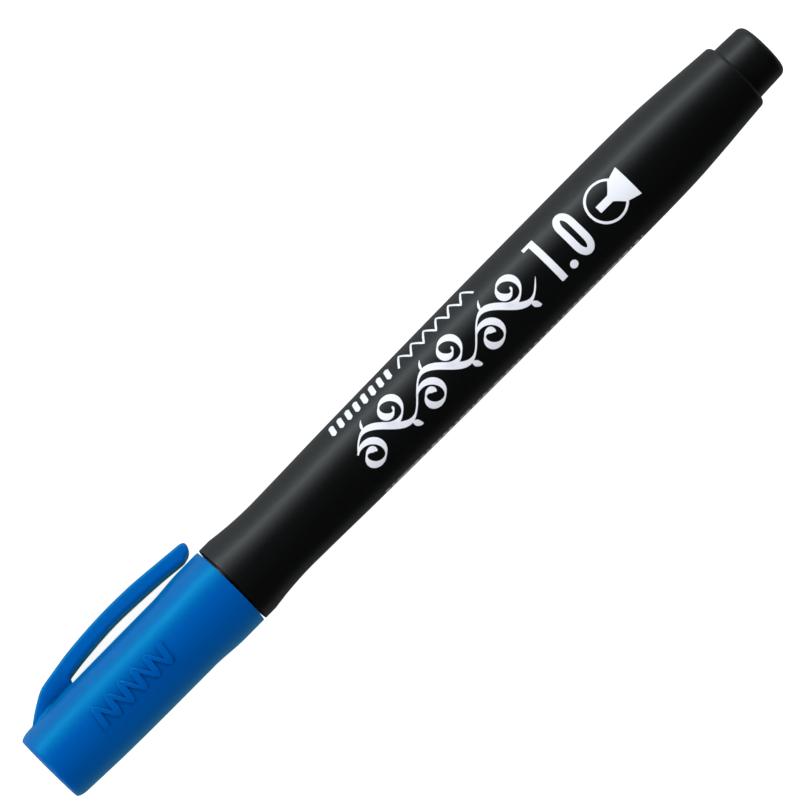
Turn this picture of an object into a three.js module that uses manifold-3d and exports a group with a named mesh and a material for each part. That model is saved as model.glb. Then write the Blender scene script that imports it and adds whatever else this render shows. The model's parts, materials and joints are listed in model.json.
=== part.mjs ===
// A calligraphy marker with its cap on, lying on a flat surface.
//
// Millimetres, +Z up. The pen's axis runs along X with the cap's closed end at -X. The clip leans
// below the horizontal on the +Y side, so the pen rests on its barrel and on the clip's lower edge,
// as a pen that has rolled to a stop does. The origin is on that surface, under the middle of the
// pen's bounding box.
//
// Every turned piece is described by stations (distance from the cap's closed end, along the axis)
// and radii, as [station, radius] pairs.

import * as THREE from 'three';
import { mergeVertices } from 'three/addons/utils/BufferGeometryUtils.js';
import Module from 'manifold-3d';

const wasm = await Module();
wasm.setup();

// ---------------------------------------------------------------- driving dimensions

const LENGTH = 140;              // capped pen, end to end
const OUTER_SEGMENTS = 48;       // facets round the shells; a vertex lands at the pen's lowest line
const CORE_SEGMENTS = 24;        // facets round the slim inner pieces
const FIT = 0.05;                // radial clearance between pieces pressed together
const CLIP_LEAN = 30;            // degrees the clip points below the horizontal

// cap
const CAP_END_R = 5.15;          // flat disc on the closed end
const CAP_TUBE_R = 6.19;         // where the tube meets the flare
const LIP = 35.3;                // station of the open edge
const LIP_R = 6.51;
const CAP_FLOOR = 1.5;           // thickness of the closed end
const LINER_BORE_R = 4.85;
const LIP_BORE_R = 5.45;

// sealing liner inside the cap
const LINER_START = 2.2;
const LINER_MOUTH = 26;
const LINER_BORE = 3.9;
const LINER_FLOOR = 0.9;

// clip
const CLIP_WIDTH = 4.2;
const CLIP_EDGE = 0.5;           // rounding of the clip's long edges
const CLIP_ROOT = 6.0;           // where the rigid root ends and the springy arm begins
const CLIP_ROOT_GAP = 0.3;       // hinge gap that stands for the moulded neck
const CLIP_CREST_R = 9.87;       // highest point of the arm's back
const CLIP_END = 35.1;
const ROOT_FOOT_R = 5.1;         // the root's foot, buried in the cap's wall

// barrel
const SHOULDER = 35.65;          // front face, just behind the cap's lip
const SHOULDER_END = 37.6;
const WAIST = 45.4;
const WAIST_R = 5.95;
const BELLY_R = 6.59;            // largest radius
const BARREL_BORE_R = 4.9;
const BARREL_END = 134.7;
const TAIL_BORE_R = 4.62;
const RIB_COUNT = 4;             // ribs that centre the reservoir
const RIB_WIDTH = 0.7;
const RIB_TIP_R = 4.32;
const RIB_START = 52;
const RIB_END = 118;

// front section
const NOSE = 13;
const COLLAR_R = 5.3;
const SECTION_END = 47;
const NIB_CHANNEL_R = 1.9;

// writing unit
const NIB_TIP = 9;
const NIB_R = 1.3;
const NIB_END = 45.5;
const NIB_EDGE_WIDTH = 1.0;      // width of the writing edge
const NIB_EDGE_THICK = 0.5;
const NIB_CHISEL = 5.2;          // length of the tapered front
const NIB_SLANT = 0.3;           // how far one corner of the writing edge stands ahead of the other
const RESERVOIR_START = 40.2;
const RESERVOIR_END = 124;
const RESERVOIR_R = 4.0;
const FILM_R = 4.2;

// tail plug
const PLUG_START = 126;
const PLUG_R = 4.57;
const PLUG_NUB_R = 4.43;
const PLUG_ROUND = 1.1;
const PLUG_BORE_R = 3.4;

// ---------------------------------------------------------------- materials

const plastic = (color, roughness) =>
  new THREE.MeshStandardMaterial({ color, roughness, metalness: 0 });

const bluePlastic = plastic(0x0a62ac, 0.35);
const blackPlastic = plastic(0x16171a, 0.6);
const naturalPlastic = plastic(0xd9dcda, 0.5);
const nibFibre = plastic(0x23242a, 0.9);
const inkFibre = plastic(0x1d1f2b, 0.95);
const clearFilm = plastic(0xc9ccd2, 0.2);

// ---------------------------------------------------------------- outline helpers

// Points on a quarter of an ellipse or circle, angles in degrees, 0 along the axis.
function arc(station, radius, alongAxis, acrossAxis, from, to, steps) {
  const points = [];
  for (let i = 0; i <= steps; i++) {
    const angle = THREE.MathUtils.degToRad(from + ((to - from) * i) / steps);
    points.push([
      station + alongAxis * Math.cos(angle),
      radius + acrossAxis * Math.sin(angle),
    ]);
  }
  return points;
}

// Points of a stretch whose radius is a function of how far along it is, from 0 to 1.
function stretch(from, to, steps, radiusAt) {
  const points = [];
  for (let i = 0; i <= steps; i++) {
    points.push([from + ((to - from) * i) / steps, radiusAt(i / steps)]);
  }
  return points;
}

// Points on one smooth curve through the given ones.
function smooth(through, steps) {
  const curve = new THREE.SplineCurve(through.map(([s, r]) => new THREE.Vector2(s, r)));
  return curve.getSpacedPoints(steps).map((p) => [p.x, p.y]);
}

const mix = THREE.MathUtils.lerp;

// ---------------------------------------------------------------- solid helpers

// A turned solid: the outline runs up the outside towards the tail and back down the inside.
function turned(outline, segments) {
  const points = outline.map(([s, r]) => new THREE.Vector2(r, s));
  const geometry = new THREE.LatheGeometry(points, segments);
  geometry.rotateZ(-Math.PI / 2);
  return geometry;
}

// A hollow turned solid closes on itself, so its outline ends where it began.
function turnedTube(outside, inside, segments) {
  return turned([...outside, ...inside, outside[0]], segments);
}

// A flat outline in the plane of the axis and the clip, thickened across that plane.
function slab(outline, width) {
  const shape = new THREE.Shape(outline.map(([s, r]) => new THREE.Vector2(s, r)));
  const geometry = new THREE.ExtrudeGeometry(shape, { depth: width, bevelEnabled: false });
  geometry.translate(0, 0, -width / 2);
  geometry.rotateX(Math.PI / 2);
  return geometry;
}

// One cross-section of a bar with rounded edges, from a point on its underside to one on its back.
function barSection(low, high, width, edge) {
  const foot = new THREE.Vector3(low[0], 0, low[1]);
  const up = new THREE.Vector3(high[0], 0, high[1]).sub(foot);
  const height = up.length();
  const round = Math.min(edge, 0.45 * height);
  up.normalize();
  const ring = [];
  for (const [side, level, start] of [[1, 0, -90], [1, 1, 0], [-1, 1, 90], [-1, 0, 180]]) {
    for (const turn of [0, 45, 90]) {
      const angle = THREE.MathUtils.degToRad(start + turn);
      const across = side * (width / 2 - round) + round * Math.cos(angle);
      const rise = (level ? height - round : round) + round * Math.sin(angle);
      ring.push(foot.clone().addScaledVector(up, rise).setY(across));
    }
  }
  return ring;
}

// A closed skin over a row of such cross-sections, with a flat face at each end.
function loft(rings) {
  const size = rings[0].length;
  const triangles = [];
  for (let i = 0; i + 1 < rings.length; i++) {
    for (let j = 0; j < size; j++) {
      const here = i * size + j;
      const beside = i * size + ((j + 1) % size);
      triangles.push(here, beside, beside + size, here, beside + size, here + size);
    }
  }
  const last = (rings.length - 1) * size;
  for (let j = 1; j + 1 < size; j++) {
    triangles.push(0, j + 1, j, last, last + j, last + j + 1);
  }
  const geometry = new THREE.BufferGeometry().setFromPoints(rings.flat());
  geometry.setIndex(triangles);
  geometry.computeVertexNormals();
  return geometry;
}

// Geometry to a solid that can be joined and cut, and back again.
function toSolid(geometry) {
  const bare = geometry.clone();
  bare.deleteAttribute('normal');
  bare.deleteAttribute('uv');
  const merged = mergeVertices(bare, 1e-4);
  const triangles = [];
  for (let i = 0; i < merged.index.count; i += 3) {
    const corners = [0, 1, 2].map((k) => merged.index.getX(i + k));
    if (new Set(corners).size === 3) triangles.push(...corners);
  }
  return new wasm.Manifold(new wasm.Mesh({
    numProp: 3,
    vertProperties: Float32Array.from(merged.attributes.position.array),
    triVerts: Uint32Array.from(triangles),
  }));
}

function toGeometry(solid) {
  const mesh = solid.getMesh();
  const geometry = new THREE.BufferGeometry();
  geometry.setAttribute('position', new THREE.BufferAttribute(mesh.vertProperties, 3));
  geometry.setIndex(new THREE.BufferAttribute(mesh.triVerts, 1));
  geometry.computeVertexNormals();
  return geometry;
}

// ---------------------------------------------------------------- cap

// The root is the wedge that carries the arm; its foot is buried in the cap's wall.
function clipRoot() {
  const rampSlope = 0.594;
  const rampTop = 7.93;
  const footStart = CLIP_ROOT - (rampTop - ROOT_FOOT_R) / rampSlope;
  return slab([
    [footStart, ROOT_FOOT_R],
    [CLIP_ROOT, ROOT_FOOT_R],
    [CLIP_ROOT, rampTop],
  ], CLIP_WIDTH);
}

function capShell() {
  const flareStart = 26;
  const flareEnd = 31.6;
  const endRounding = 2.0;
  const lipEdge = 0.12;
  const outside = [
    [0, 0],
    ...arc(endRounding, CAP_END_R, endRounding, 0.65, 180, 90, 4),
    [5.5, 5.95],
    [10, 6.09],
    [16, 6.16],
    ...stretch(flareStart, flareEnd, 6, (u) =>
      mix(CAP_TUBE_R, LIP_R, THREE.MathUtils.smoothstep(u, 0, 1))),
    [LIP - lipEdge, LIP_R],
    [LIP, LIP_R - lipEdge],
  ];
  const inside = [
    [LIP, LIP_BORE_R + lipEdge],
    [LIP - lipEdge, LIP_BORE_R],
    [29, LIP_BORE_R],
    [LINER_MOUTH + 0.5, LINER_BORE_R],
    [CAP_FLOOR, LINER_BORE_R],
    [CAP_FLOOR, 0],
  ];
  const shell = toSolid(turned([...outside, ...inside], OUTER_SEGMENTS));
  return toGeometry(shell.add(toSolid(clipRoot())));
}

// The arm leaves the root, arches over the cap and comes down to a blunt, upturned nose.
function clipArm() {
  const armStart = CLIP_ROOT + CLIP_ROOT_GAP;
  const steps = 18;
  const underside = smooth([
    [armStart, 6.2], [10.8, 6.85], [14.6, 7.40], [20.8, 7.76], [28.5, 7.40], [33.2, 7.1],
  ], steps);
  const back = smooth([
    [armStart, 8.15], [9.3, 8.89], [13.6, 9.48], [19.5, CLIP_CREST_R],
    [25.2, 9.82], [29.8, 9.40], [33.8, 8.97],
  ], steps);
  underside.push([34.2, 7.38], [34.8, 7.75], [CLIP_END, 8.1]);
  back.push([34.5, 8.86], [34.9, 8.68], [CLIP_END, 8.45]);
  return loft(underside.map((low, i) => barSection(low, back[i], CLIP_WIDTH, CLIP_EDGE)));
}

function innerCap() {
  const r = LINER_BORE_R - FIT;
  const outside = [
    [LINER_START, 0],
    [LINER_START, r - 0.4],
    [LINER_START + 0.4, r],
    [LINER_MOUTH - 1.2, r],
    [LINER_MOUTH, r - 0.3],
  ];
  const inside = [
    [LINER_MOUTH, LINER_BORE + 0.25],
    [LINER_MOUTH - 0.8, LINER_BORE],
    [LINER_START + LINER_FLOOR + 0.4, LINER_BORE],
    [LINER_START + LINER_FLOOR, LINER_BORE - 0.4],
    [LINER_START + LINER_FLOOR, 0],
  ];
  return turned([...outside, ...inside], OUTER_SEGMENTS);
}

// ---------------------------------------------------------------- barrel

function barrelOutside() {
  const shoulderEdge = 0.1;
  const flare = stretch(SHOULDER_END, WAIST, 6, (u) =>
    WAIST_R + (LIP_R - WAIST_R) * (1 - u) ** 2);
  const belly = smooth([
    [WAIST, WAIST_R], [51, 6.05], [58, 6.20], [70, 6.36], [85, 6.51], [99, 6.57],
    [112, BELLY_R], [120, 6.45], [126, 6.09], [130.2, 5.75], [133.8, 5.48],
  ], 20);
  const endRound = arc(133.9, 4.78, BARREL_END - 133.9, 0.7, 80, 0, 4);
  return [
    [SHOULDER, LIP_R - shoulderEdge],
    [SHOULDER + shoulderEdge, LIP_R],
    ...flare,
    ...belly.slice(1),
    ...endRound,
  ];
}

function barrel() {
  const inside = [
    [BARREL_END, TAIL_BORE_R],
    [125.2, TAIL_BORE_R],
    [124.6, BARREL_BORE_R],
    [SHOULDER, BARREL_BORE_R],
  ];
  let solid = toSolid(turnedTube(barrelOutside(), inside, OUTER_SEGMENTS));
  const ribRoot = 5.2;
  for (let i = 0; i < RIB_COUNT; i++) {
    const rib = new THREE.BoxGeometry(RIB_END - RIB_START, RIB_WIDTH, ribRoot - RIB_TIP_R);
    rib.translate((RIB_START + RIB_END) / 2, 0, (ribRoot + RIB_TIP_R) / 2);
    rib.rotateX((i * 2 * Math.PI) / RIB_COUNT);
    solid = solid.add(toSolid(rib));
  }
  return toGeometry(solid);
}

function tailPlug() {
  const neck = PLUG_R;
  const outside = [
    [PLUG_START, neck - 0.3],
    [PLUG_START + 0.5, neck],
    [BARREL_END + 0.3, neck],
    ...arc(LENGTH - PLUG_ROUND, PLUG_NUB_R - PLUG_ROUND, PLUG_ROUND, PLUG_ROUND, 90, 0, 5),
    [LENGTH, 0],
  ];
  const inside = [
    [LENGTH - 2.2, 0],
    [LENGTH - 2.2, PLUG_BORE_R - 0.4],
    [LENGTH - 2.6, PLUG_BORE_R],
    [PLUG_START, PLUG_BORE_R],
  ];
  return turnedTube(outside, inside, OUTER_SEGMENTS);
}

// ---------------------------------------------------------------- writing unit

// The section's nose, the land that the liner seals on, the grip, the collar and the tenon.
function frontSection() {
  const tenon = BARREL_BORE_R - FIT;
  const sealLand = LINER_BORE - FIT;
  const outside = [
    ...arc(NOSE + 0.5, 2.15, 0.5, 0.45, 180, 90, 3),
    [20.4, sealLand - 0.25],
    [21, sealLand],
    [LINER_MOUTH + 0.2, sealLand],
    [LINER_MOUTH + 1.2, 4.5],
    [32.6, 5.0],
    [33, COLLAR_R],
    [SHOULDER - FIT, COLLAR_R],
    [SHOULDER - FIT, tenon],
    [SECTION_END - 0.6, tenon],
    [SECTION_END, tenon - 0.2],
  ];
  const inside = [
    [SECTION_END, FILM_R + FIT],
    [39.5, FILM_R + FIT],
    [30, NIB_CHANNEL_R],
    [NOSE, NIB_CHANNEL_R],
  ];
  return turnedTube(outside, inside, OUTER_SEGMENTS);
}

function nibSleeve() {
  const start = NOSE - 0.7;
  const end = 24;
  const outer = NIB_CHANNEL_R - FIT;
  const inner = NIB_R + 0.06;
  return turnedTube(
    [[start, outer - 0.25], [start + 0.35, outer], [end, outer]],
    [[end, inner], [start, inner]],
    CORE_SEGMENTS,
  );
}

// A round fibre stem, ground flat on four sides to a slanted chisel edge.
function nib() {
  const stem = toSolid(turned([
    [NIB_TIP, 0], [NIB_TIP, NIB_R], [NIB_END, NIB_R], [NIB_END, 0],
  ], CORE_SEGMENTS));
  const wedge = (halfEdge, slant) => [
    [NIB_TIP + slant, halfEdge],
    [NIB_TIP + NIB_CHISEL, NIB_R + 0.1],
    [NIB_END + 1, NIB_R + 0.1],
    [NIB_END + 1, -NIB_R - 0.1],
    [NIB_TIP + NIB_CHISEL, -NIB_R - 0.1],
    [NIB_TIP, -halfEdge],
  ].reverse();
  const across = slab(wedge(NIB_EDGE_WIDTH / 2, NIB_SLANT), 4 * NIB_R);
  const through = slab(wedge(NIB_EDGE_THICK / 2, 0), 4 * NIB_R);
  through.rotateX(Math.PI / 2);
  return toGeometry(stem.intersect(toSolid(across)).intersect(toSolid(through)));
}

function reservoirCore() {
  const socket = NIB_R + 0.06;
  return turned([
    [RESERVOIR_START, socket],
    [RESERVOIR_START, RESERVOIR_R],
    [RESERVOIR_END, RESERVOIR_R],
    [RESERVOIR_END, 0],
    [NIB_END + 0.3, 0],
    [NIB_END + 0.3, socket],
    [RESERVOIR_START, socket],
  ], CORE_SEGMENTS);
}

function reservoirFilm() {
  const inner = RESERVOIR_R + FIT;
  return turnedTube(
    [[RESERVOIR_START, FILM_R], [RESERVOIR_END, FILM_R]],
    [[RESERVOIR_END, inner], [RESERVOIR_START, inner]],
    CORE_SEGMENTS,
  );
}

// ---------------------------------------------------------------- assembly

function piece(name, geometry, material) {
  const mesh = new THREE.Mesh(geometry, material);
  mesh.name = name;
  return mesh;
}

const pen = new THREE.Group();
pen.add(
  piece('cap_shell', capShell(), bluePlastic),
  piece('clip', clipArm(), bluePlastic),
  piece('inner_cap', innerCap(), naturalPlastic),
  piece('barrel', barrel(), blackPlastic),
  piece('tail_plug', tailPlug(), blackPlastic),
  piece('front_section', frontSection(), blackPlastic),
  piece('nib_sleeve', nibSleeve(), naturalPlastic),
  piece('nib', nib(), nibFibre),
  piece('reservoir_core', reservoirCore(), inkFibre),
  piece('reservoir_film', reservoirFilm(), clearFilm),
);

// The clip is built pointing up. Turning the pen leans it to the +Y side, below the horizontal.
// Then the pen is set down on its lowest line, centred over the origin.
pen.rotation.x = -THREE.MathUtils.degToRad(90 + CLIP_LEAN);
pen.updateMatrixWorld(true);
const reach = new THREE.Box3().setFromObject(pen, true);
pen.position.set(-LENGTH / 2, -(reach.min.y + reach.max.y) / 2, -reach.min.z);

const marker = new THREE.Group();
marker.add(pen);

export default marker;
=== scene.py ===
"""A calligraphy marker with its cap on, lying on a pale floor.

Pieces are shaped in the pen's own terms, in millimetres: a station along the axis, counted from the
cap's closed end, and a radius. PEN turns those into the row frame. The clip points at angle 0 round
the axis, and the printed side is the one that faces up.
"""

import json
import math

import bmesh
import bpy
from mathutils import Matrix, Vector


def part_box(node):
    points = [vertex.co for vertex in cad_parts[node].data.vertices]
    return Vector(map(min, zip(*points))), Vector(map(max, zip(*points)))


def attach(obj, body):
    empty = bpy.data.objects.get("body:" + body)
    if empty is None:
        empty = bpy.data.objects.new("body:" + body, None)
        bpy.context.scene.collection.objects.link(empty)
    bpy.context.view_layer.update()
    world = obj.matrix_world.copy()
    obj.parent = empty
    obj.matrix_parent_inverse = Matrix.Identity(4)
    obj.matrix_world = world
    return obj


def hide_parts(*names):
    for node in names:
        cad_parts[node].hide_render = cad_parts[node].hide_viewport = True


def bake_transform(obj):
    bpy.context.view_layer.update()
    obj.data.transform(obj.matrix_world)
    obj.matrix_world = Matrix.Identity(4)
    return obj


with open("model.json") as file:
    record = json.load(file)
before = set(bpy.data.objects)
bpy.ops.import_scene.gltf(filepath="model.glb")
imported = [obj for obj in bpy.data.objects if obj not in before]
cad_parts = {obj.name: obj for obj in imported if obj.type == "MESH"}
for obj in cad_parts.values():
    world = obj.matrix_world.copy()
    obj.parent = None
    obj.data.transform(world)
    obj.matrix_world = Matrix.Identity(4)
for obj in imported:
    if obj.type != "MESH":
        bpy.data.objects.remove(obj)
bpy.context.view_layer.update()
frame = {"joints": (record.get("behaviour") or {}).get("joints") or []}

# -------------------- the pen's own frame

MM = 0.001
barrel_low, barrel_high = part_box("barrel")
AXIS_Y = (barrel_low.y + barrel_high.y) / 2
AXIS_Z = (barrel_low.z + barrel_high.z) / 2
CAP_END_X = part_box("cap_shell")[0].x
clip_joint = next(j for j in frame["joints"] if j["name"] == "clip_flex")
CLIP_TURN = math.atan2(-clip_joint["axis"][2], -clip_joint["axis"][1])
PEN = (
    Matrix.Translation((CAP_END_X, AXIS_Y, AXIS_Z))
    @ Matrix.Rotation(CLIP_TURN, 4, "X")
    @ Matrix.Scale(MM, 4)
)


def ends_of(node):
    """Where a CAD node starts and stops along the pen, in millimetres."""
    return [(corner.x - CAP_END_X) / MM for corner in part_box(node)]


_, LIP = ends_of("cap_shell")
SHOULDER, BARREL_END = ends_of("barrel")
PLUG_START, LENGTH = ends_of("tail_plug")
_, CLIP_END = ends_of("clip")
LINER_START, LINER_MOUTH = ends_of("inner_cap")
NOSE, SECTION_END = ends_of("front_section")
SLEEVE_START, SLEEVE_END = ends_of("nib_sleeve")
NIB_TIP, NIB_END = ends_of("nib")
RESERVOIR_START, RESERVOIR_END = ends_of("reservoir_core")

# Radii and widths, in millimetres.
LIP_R = 6.51
WAIST = 45.4
WAIST_R = 5.95
BELLY_R = 6.569
BARREL_BORE_R = 4.9
TAIL_BORE_R = 4.62
LINER_BORE_R = 4.85
LIP_BORE_R = 5.45
COLLAR_R = 5.3
NIB_R = 1.3
NIB_CHANNEL_R = 1.9
RESERVOIR_R = 4.0
FILM_R = 4.2
FIT = 0.05
CLIP_HALF_WIDTH = 2.1
CLIP_CREST_R = 9.855

FACETS = 192              # round the shells
CORE_FACETS = 96          # round the slim inner pieces
PRINT_FACING = math.radians(21)   # the printed side's middle, from straight up towards the clip
UNROLL_R = 6.5            # the radius at which print lengths along the arc are measured

# -------------------- outlines


def arc(station, radius, along, across, start, end, steps):
    """Points on an ellipse, angles in degrees, 0 along the axis."""
    points = []
    for i in range(steps + 1):
        angle = math.radians(start + (end - start) * i / steps)
        points.append((station + along * math.cos(angle), radius + across * math.sin(angle)))
    return points


def stretch(start, end, steps, radius_at):
    """Points whose radius is a function of how far along the stretch they are, from 0 to 1."""
    return [(start + (end - start) * i / steps, radius_at(i / steps)) for i in range(steps + 1)]


def smooth(through, steps):
    """Points on one smooth curve through the given ones, with the same number on each span."""
    points = []
    last = len(through) - 1
    for i in range(last):
        p0, p1, p2, p3 = (Vector(through[k]) for k in (max(i - 1, 0), i, i + 1, min(i + 2, last)))
        for j in range(steps):
            t = j / steps
            near = (p2 - p0) * 0.5
            far = (p3 - p1) * 0.5
            bend = p1 + near * t + (3 * (p2 - p1) - 2 * near - far) * t**2
            points.append(tuple(bend + (2 * (p1 - p2) + near + far) * t**3))
    points.append(tuple(through[last]))
    return points


def ease(u):
    return u * u * (3 - 2 * u)


def mix(low, high, u):
    return low + (high - low) * u


# -------------------- mesh makers


def new_object(name, data):
    """An object in the scene that holds a mesh, a light or a camera."""
    made = bpy.data.objects.new(name, data)
    bpy.context.scene.collection.objects.link(made)
    return made


def mesh_object(name, mesh, maker, corner_degrees):
    """A mesh object from a bmesh, smooth but for the corners that turn by more than the given angle."""
    bmesh.ops.recalc_face_normals(maker, faces=maker.faces)
    for face in maker.faces:
        face.smooth = True
    for edge in maker.edges:
        edge.smooth = edge.calc_face_angle(0) < math.radians(corner_degrees)
    maker.to_mesh(mesh)
    maker.free()
    return new_object(name, mesh)


def new_piece(name, maker, material, corner_degrees=32):
    """A piece from a bmesh that holds it in pen millimetres."""
    bmesh.ops.remove_doubles(maker, verts=maker.verts, dist=1e-4)
    maker.transform(PEN)
    mesh = bpy.data.meshes.new(name)
    mesh.materials.append(material)
    return mesh_object(name, mesh, maker, corner_degrees)


def turned_mesh(outline, facets):
    """An outline of (station, radius) points spun round the axis. It ends on the axis or closes on itself."""
    maker = bmesh.new()
    rings = []
    for station, radius in outline:
        if radius < 1e-6:
            rings.append([maker.verts.new((station, 0, 0))] * facets)
            continue
        rings.append([
            maker.verts.new((
                station,
                radius * math.sin(2 * math.pi * k / facets),
                radius * math.cos(2 * math.pi * k / facets),
            ))
            for k in range(facets)
        ])
    closes = outline[0][1] > 1e-6 or outline[-1][1] > 1e-6
    pairs = list(zip(rings, rings[1:] + rings[:1])) if closes else list(zip(rings, rings[1:]))
    for ring, following in pairs:
        for k in range(facets):
            corners = [ring[k], ring[k - 1], following[k - 1], following[k]]
            corners = [v for i, v in enumerate(corners) if v not in corners[:i]]
            if len(corners) > 2:
                maker.faces.new(corners)
    return maker


def skinned_mesh(rings):
    """A skin over a row of rings with the same number of points, with a face at each end."""
    maker = bmesh.new()
    rows = [[maker.verts.new(point) for point in ring] for ring in rings]
    size = len(rows[0])
    for row, following in zip(rows, rows[1:]):
        for k in range(size):
            maker.faces.new([row[k], row[k - 1], following[k - 1], following[k]])
    maker.faces.new(rows[0])
    maker.faces.new(list(reversed(rows[-1])))
    return maker


# -------------------- node helpers


def add(tree, kind, inputs, **settings):
    """A node with its settings, and its input sockets linked or set."""
    node = tree.nodes.new(kind)
    for name, value in settings.items():
        setattr(node, name, value)
    for socket, value in inputs.items():
        if isinstance(value, bpy.types.NodeSocket):
            tree.links.new(value, node.inputs[socket])
        else:
            node.inputs[socket].default_value = value
    return node


def new_group(name, kind, inputs, outputs):
    """A node group with named sockets. Gives the tree, what comes in and what goes out."""
    tree = bpy.data.node_groups.new(name, kind)
    for label, socket_type, *default in inputs:
        socket = tree.interface.new_socket(label, in_out="INPUT", socket_type="NodeSocket" + socket_type)
        if default:
            socket.default_value = default[0]
    for label, socket_type in outputs:
        tree.interface.new_socket(label, in_out="OUTPUT", socket_type="NodeSocket" + socket_type)
    return tree, tree.nodes.new("NodeGroupInput").outputs, tree.nodes.new("NodeGroupOutput").inputs


def calculate(tree, operation, *values):
    """The result of a maths node."""
    return add(tree, "ShaderNodeMath", dict(enumerate(values)), operation=operation).outputs[0]


def combine(tree, **parts):
    """A vector from its X, Y and Z."""
    return add(tree, "ShaderNodeCombineXYZ", parts).outputs[0]


def separate(tree, vector):
    """The X, Y and Z of a vector."""
    return add(tree, "ShaderNodeSeparateXYZ", {0: vector}).outputs


def position(tree):
    """The X, Y and Z of each point of a shape."""
    return separate(tree, tree.nodes.new("GeometryNodeInputPosition").outputs[0])


def stretch_along(tree, vector, share):
    """Coordinates that make a pattern longer along the pen: it keeps only a share of its steps there."""
    return add(tree, "ShaderNodeMapping", {"Vector": vector, "Scale": (share, 1.0, 1.0)}).outputs[0]


def noise(tree, vector, scale, detail, roughness=0.5, distortion=0.0):
    """A noise pattern between 0 and 1."""
    return add(tree, "ShaderNodeTexNoise", {
        "Vector": vector,
        "Scale": scale,
        "Detail": detail,
        "Roughness": roughness,
        "Distortion": distortion,
    }).outputs["Fac"]


def ramp(tree, value, low, high, **settings):
    """A mask that goes from 0 to 1 as the value goes from low to high."""
    inputs = {"Value": value, "From Min": low, "From Max": high}
    return add(tree, "ShaderNodeMapRange", inputs, **settings).outputs[0]


def mix_colors(tree, factor, low, high):
    return add(tree, "ShaderNodeMix", {"Factor": factor, 6: low, 7: high}, data_type="RGBA").outputs[2]


# -------------------- effects shared by the materials


def make_moulded_skin():
    """Moulded plastic: faint flow lines in the colour, a fine spark-eroded grain in the surface."""
    tree, given, result = new_group(
        "moulded_skin",
        "ShaderNodeTree",
        [
            ("Vector", "Vector"),
            ("Color", "Color"),
            ("Flow Color", "Color"),
            ("Flow Amount", "Float", 0.5),
            ("Grain Scale", "Float", 3000.0),
            ("Roughness", "Float", 0.4),
            ("Roughness Spread", "Float", 0.1),
        ],
        [("Color", "Color"), ("Roughness", "Float"), ("Height", "Float")],
    )
    along = stretch_along(tree, given["Vector"], 0.12)
    flow = noise(tree, along, scale=260.0, detail=3.0, distortion=0.4)
    flow_mask = calculate(tree, "MULTIPLY", ramp(tree, flow, 0.35, 0.65), given["Flow Amount"])
    grain = noise(tree, given["Vector"], given["Grain Scale"], detail=2.0, roughness=0.6)
    both_middles = 1.0
    uneven = calculate(tree, "SUBTRACT", calculate(tree, "ADD", grain, flow), both_middles)
    spread = calculate(tree, "MULTIPLY", uneven, given["Roughness Spread"])
    tree.links.new(mix_colors(tree, flow_mask, given["Color"], given["Flow Color"]), result["Color"])
    tree.links.new(calculate(tree, "ADD", given["Roughness"], spread), result["Roughness"])
    tree.links.new(grain, result["Height"])
    return tree


def make_handling_marks():
    """Hairline scuffs from a pencil case, mostly along the pen, in patches."""
    tree, given, result = new_group(
        "handling_marks",
        "ShaderNodeTree",
        [("Vector", "Vector"), ("Amount", "Float", 0.3), ("Turn", "Float", 0.3)],
        [("Mask", "Float")],
    )
    inputs = {"Vector": given["Vector"], "Angle": given["Turn"]}
    askew = add(tree, "ShaderNodeVectorRotate", inputs, rotation_type="Z_AXIS")
    along = stretch_along(tree, askew.outputs[0], 0.03)
    hairlines = ramp(tree, noise(tree, along, scale=5200.0, detail=1.0, distortion=0.2), 0.66, 0.72)
    patches = ramp(tree, noise(tree, given["Vector"], scale=140.0, detail=2.0), 0.5, 0.68)
    mask = calculate(tree, "MULTIPLY", hairlines, patches)
    tree.links.new(calculate(tree, "MULTIPLY", mask, given["Amount"]), result["Mask"])
    return tree


def make_fibre_bundle():
    """Fibres running along the pen, unevenly stained with ink."""
    tree, given, result = new_group(
        "fibre_bundle",
        "ShaderNodeTree",
        [
            ("Vector", "Vector"),
            ("Dry Color", "Color"),
            ("Ink Color", "Color"),
            ("Fibre Scale", "Float", 4000.0),
            ("Ink Amount", "Float", 0.7),
        ],
        [("Color", "Color"), ("Height", "Float")],
    )
    along = stretch_along(tree, given["Vector"], 0.05)
    fibres = noise(tree, along, given["Fibre Scale"], detail=3.0)
    soak = noise(tree, given["Vector"], scale=420.0, detail=3.0)
    more_ink = calculate(tree, "SUBTRACT", given["Ink Amount"], 0.5)
    fibre_share = 0.3
    wet = calculate(tree, "MULTIPLY_ADD", fibres, fibre_share, calculate(tree, "ADD", soak, more_ink))
    stain = ramp(tree, wet, 0.45, 0.85)
    tree.links.new(mix_colors(tree, stain, given["Dry Color"], given["Ink Color"]), result["Color"])
    tree.links.new(fibres, result["Height"])
    return tree


moulded_skin = make_moulded_skin()
handling_marks = make_handling_marks()
fibre_bundle = make_fibre_bundle()

# -------------------- materials


def begin_material(name, **shader_values):
    """A material with its shader's plain values set. Gives the material, tree, shader and coordinates."""
    material = bpy.data.materials.new(name)
    material.use_nodes = True
    tree = material.node_tree
    shader = tree.nodes["Principled BSDF"]
    for socket, value in shader_values.items():
        shader.inputs[socket.replace("_", " ")].default_value = value
    coordinates = tree.nodes.new("ShaderNodeTexCoord").outputs["Object"]
    return material, tree, shader, coordinates


def use_group(tree, group, inputs):
    """The outputs of an effect placed in a material."""
    return add(tree, "ShaderNodeGroup", inputs, node_tree=group).outputs


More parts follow.
